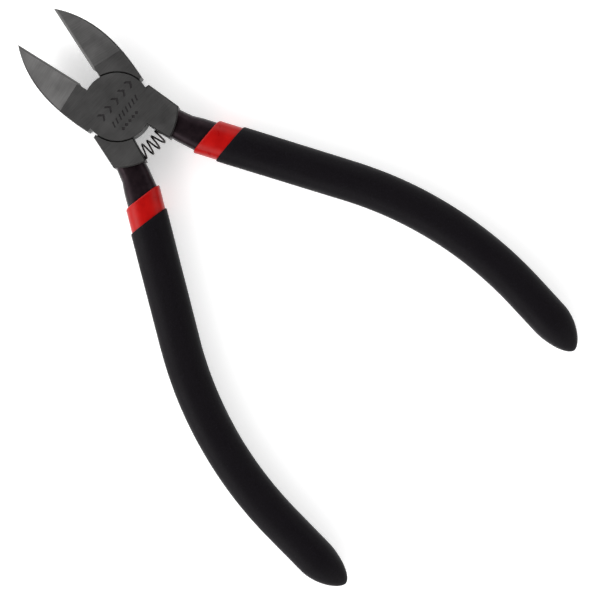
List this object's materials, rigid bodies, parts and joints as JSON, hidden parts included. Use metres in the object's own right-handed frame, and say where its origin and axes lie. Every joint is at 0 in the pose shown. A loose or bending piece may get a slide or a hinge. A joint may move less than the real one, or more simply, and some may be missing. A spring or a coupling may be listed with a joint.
{
  "type": "flush cut pliers",
  "caption": "Flush cutting pliers with a lap joint, long bowed two-tone dipped grips and a coil return spring.",
  "frame": {"origin": "on the pivot axis, at the flat back face that the tool lies on", "axes": "+Y along the line midway between the open cutting edges, from the pivot to the blade tips; +Z out of the front face; +X to the right seen from the front"},
  "size_m": [0.0948, 0.1535, 0.01],
  "materials": {
    "tool_steel": "satin ground on the joint and blades, black oxide on the necks",
    "spring_steel": "dark drawn wire",
    "red_vinyl": "semi-gloss dipped vinyl",
    "black_vinyl": "matt, finely pitted dipped vinyl"
  },
  "bodies": {
    "back": {"back_half": "tool_steel", "back_grip_red": "red_vinyl", "back_grip_black": "black_vinyl", "pivot_rivet": "tool_steel", "return_spring": "spring_steel"},
    "front": {"front_half": "tool_steel", "front_grip_red": "red_vinyl", "front_grip_black": "black_vinyl"}
  },
  "joints": [
    {"name": "pivot", "type": "hinge", "parent": "back", "child": "front", "pos_m": [0, 0, 0], "axis": [0, 0, 1], "range_deg": [-24.8, 10], "stiffness_Nm_per_rad": 0.15, "deforming": ["return_spring"]}
  ]
}
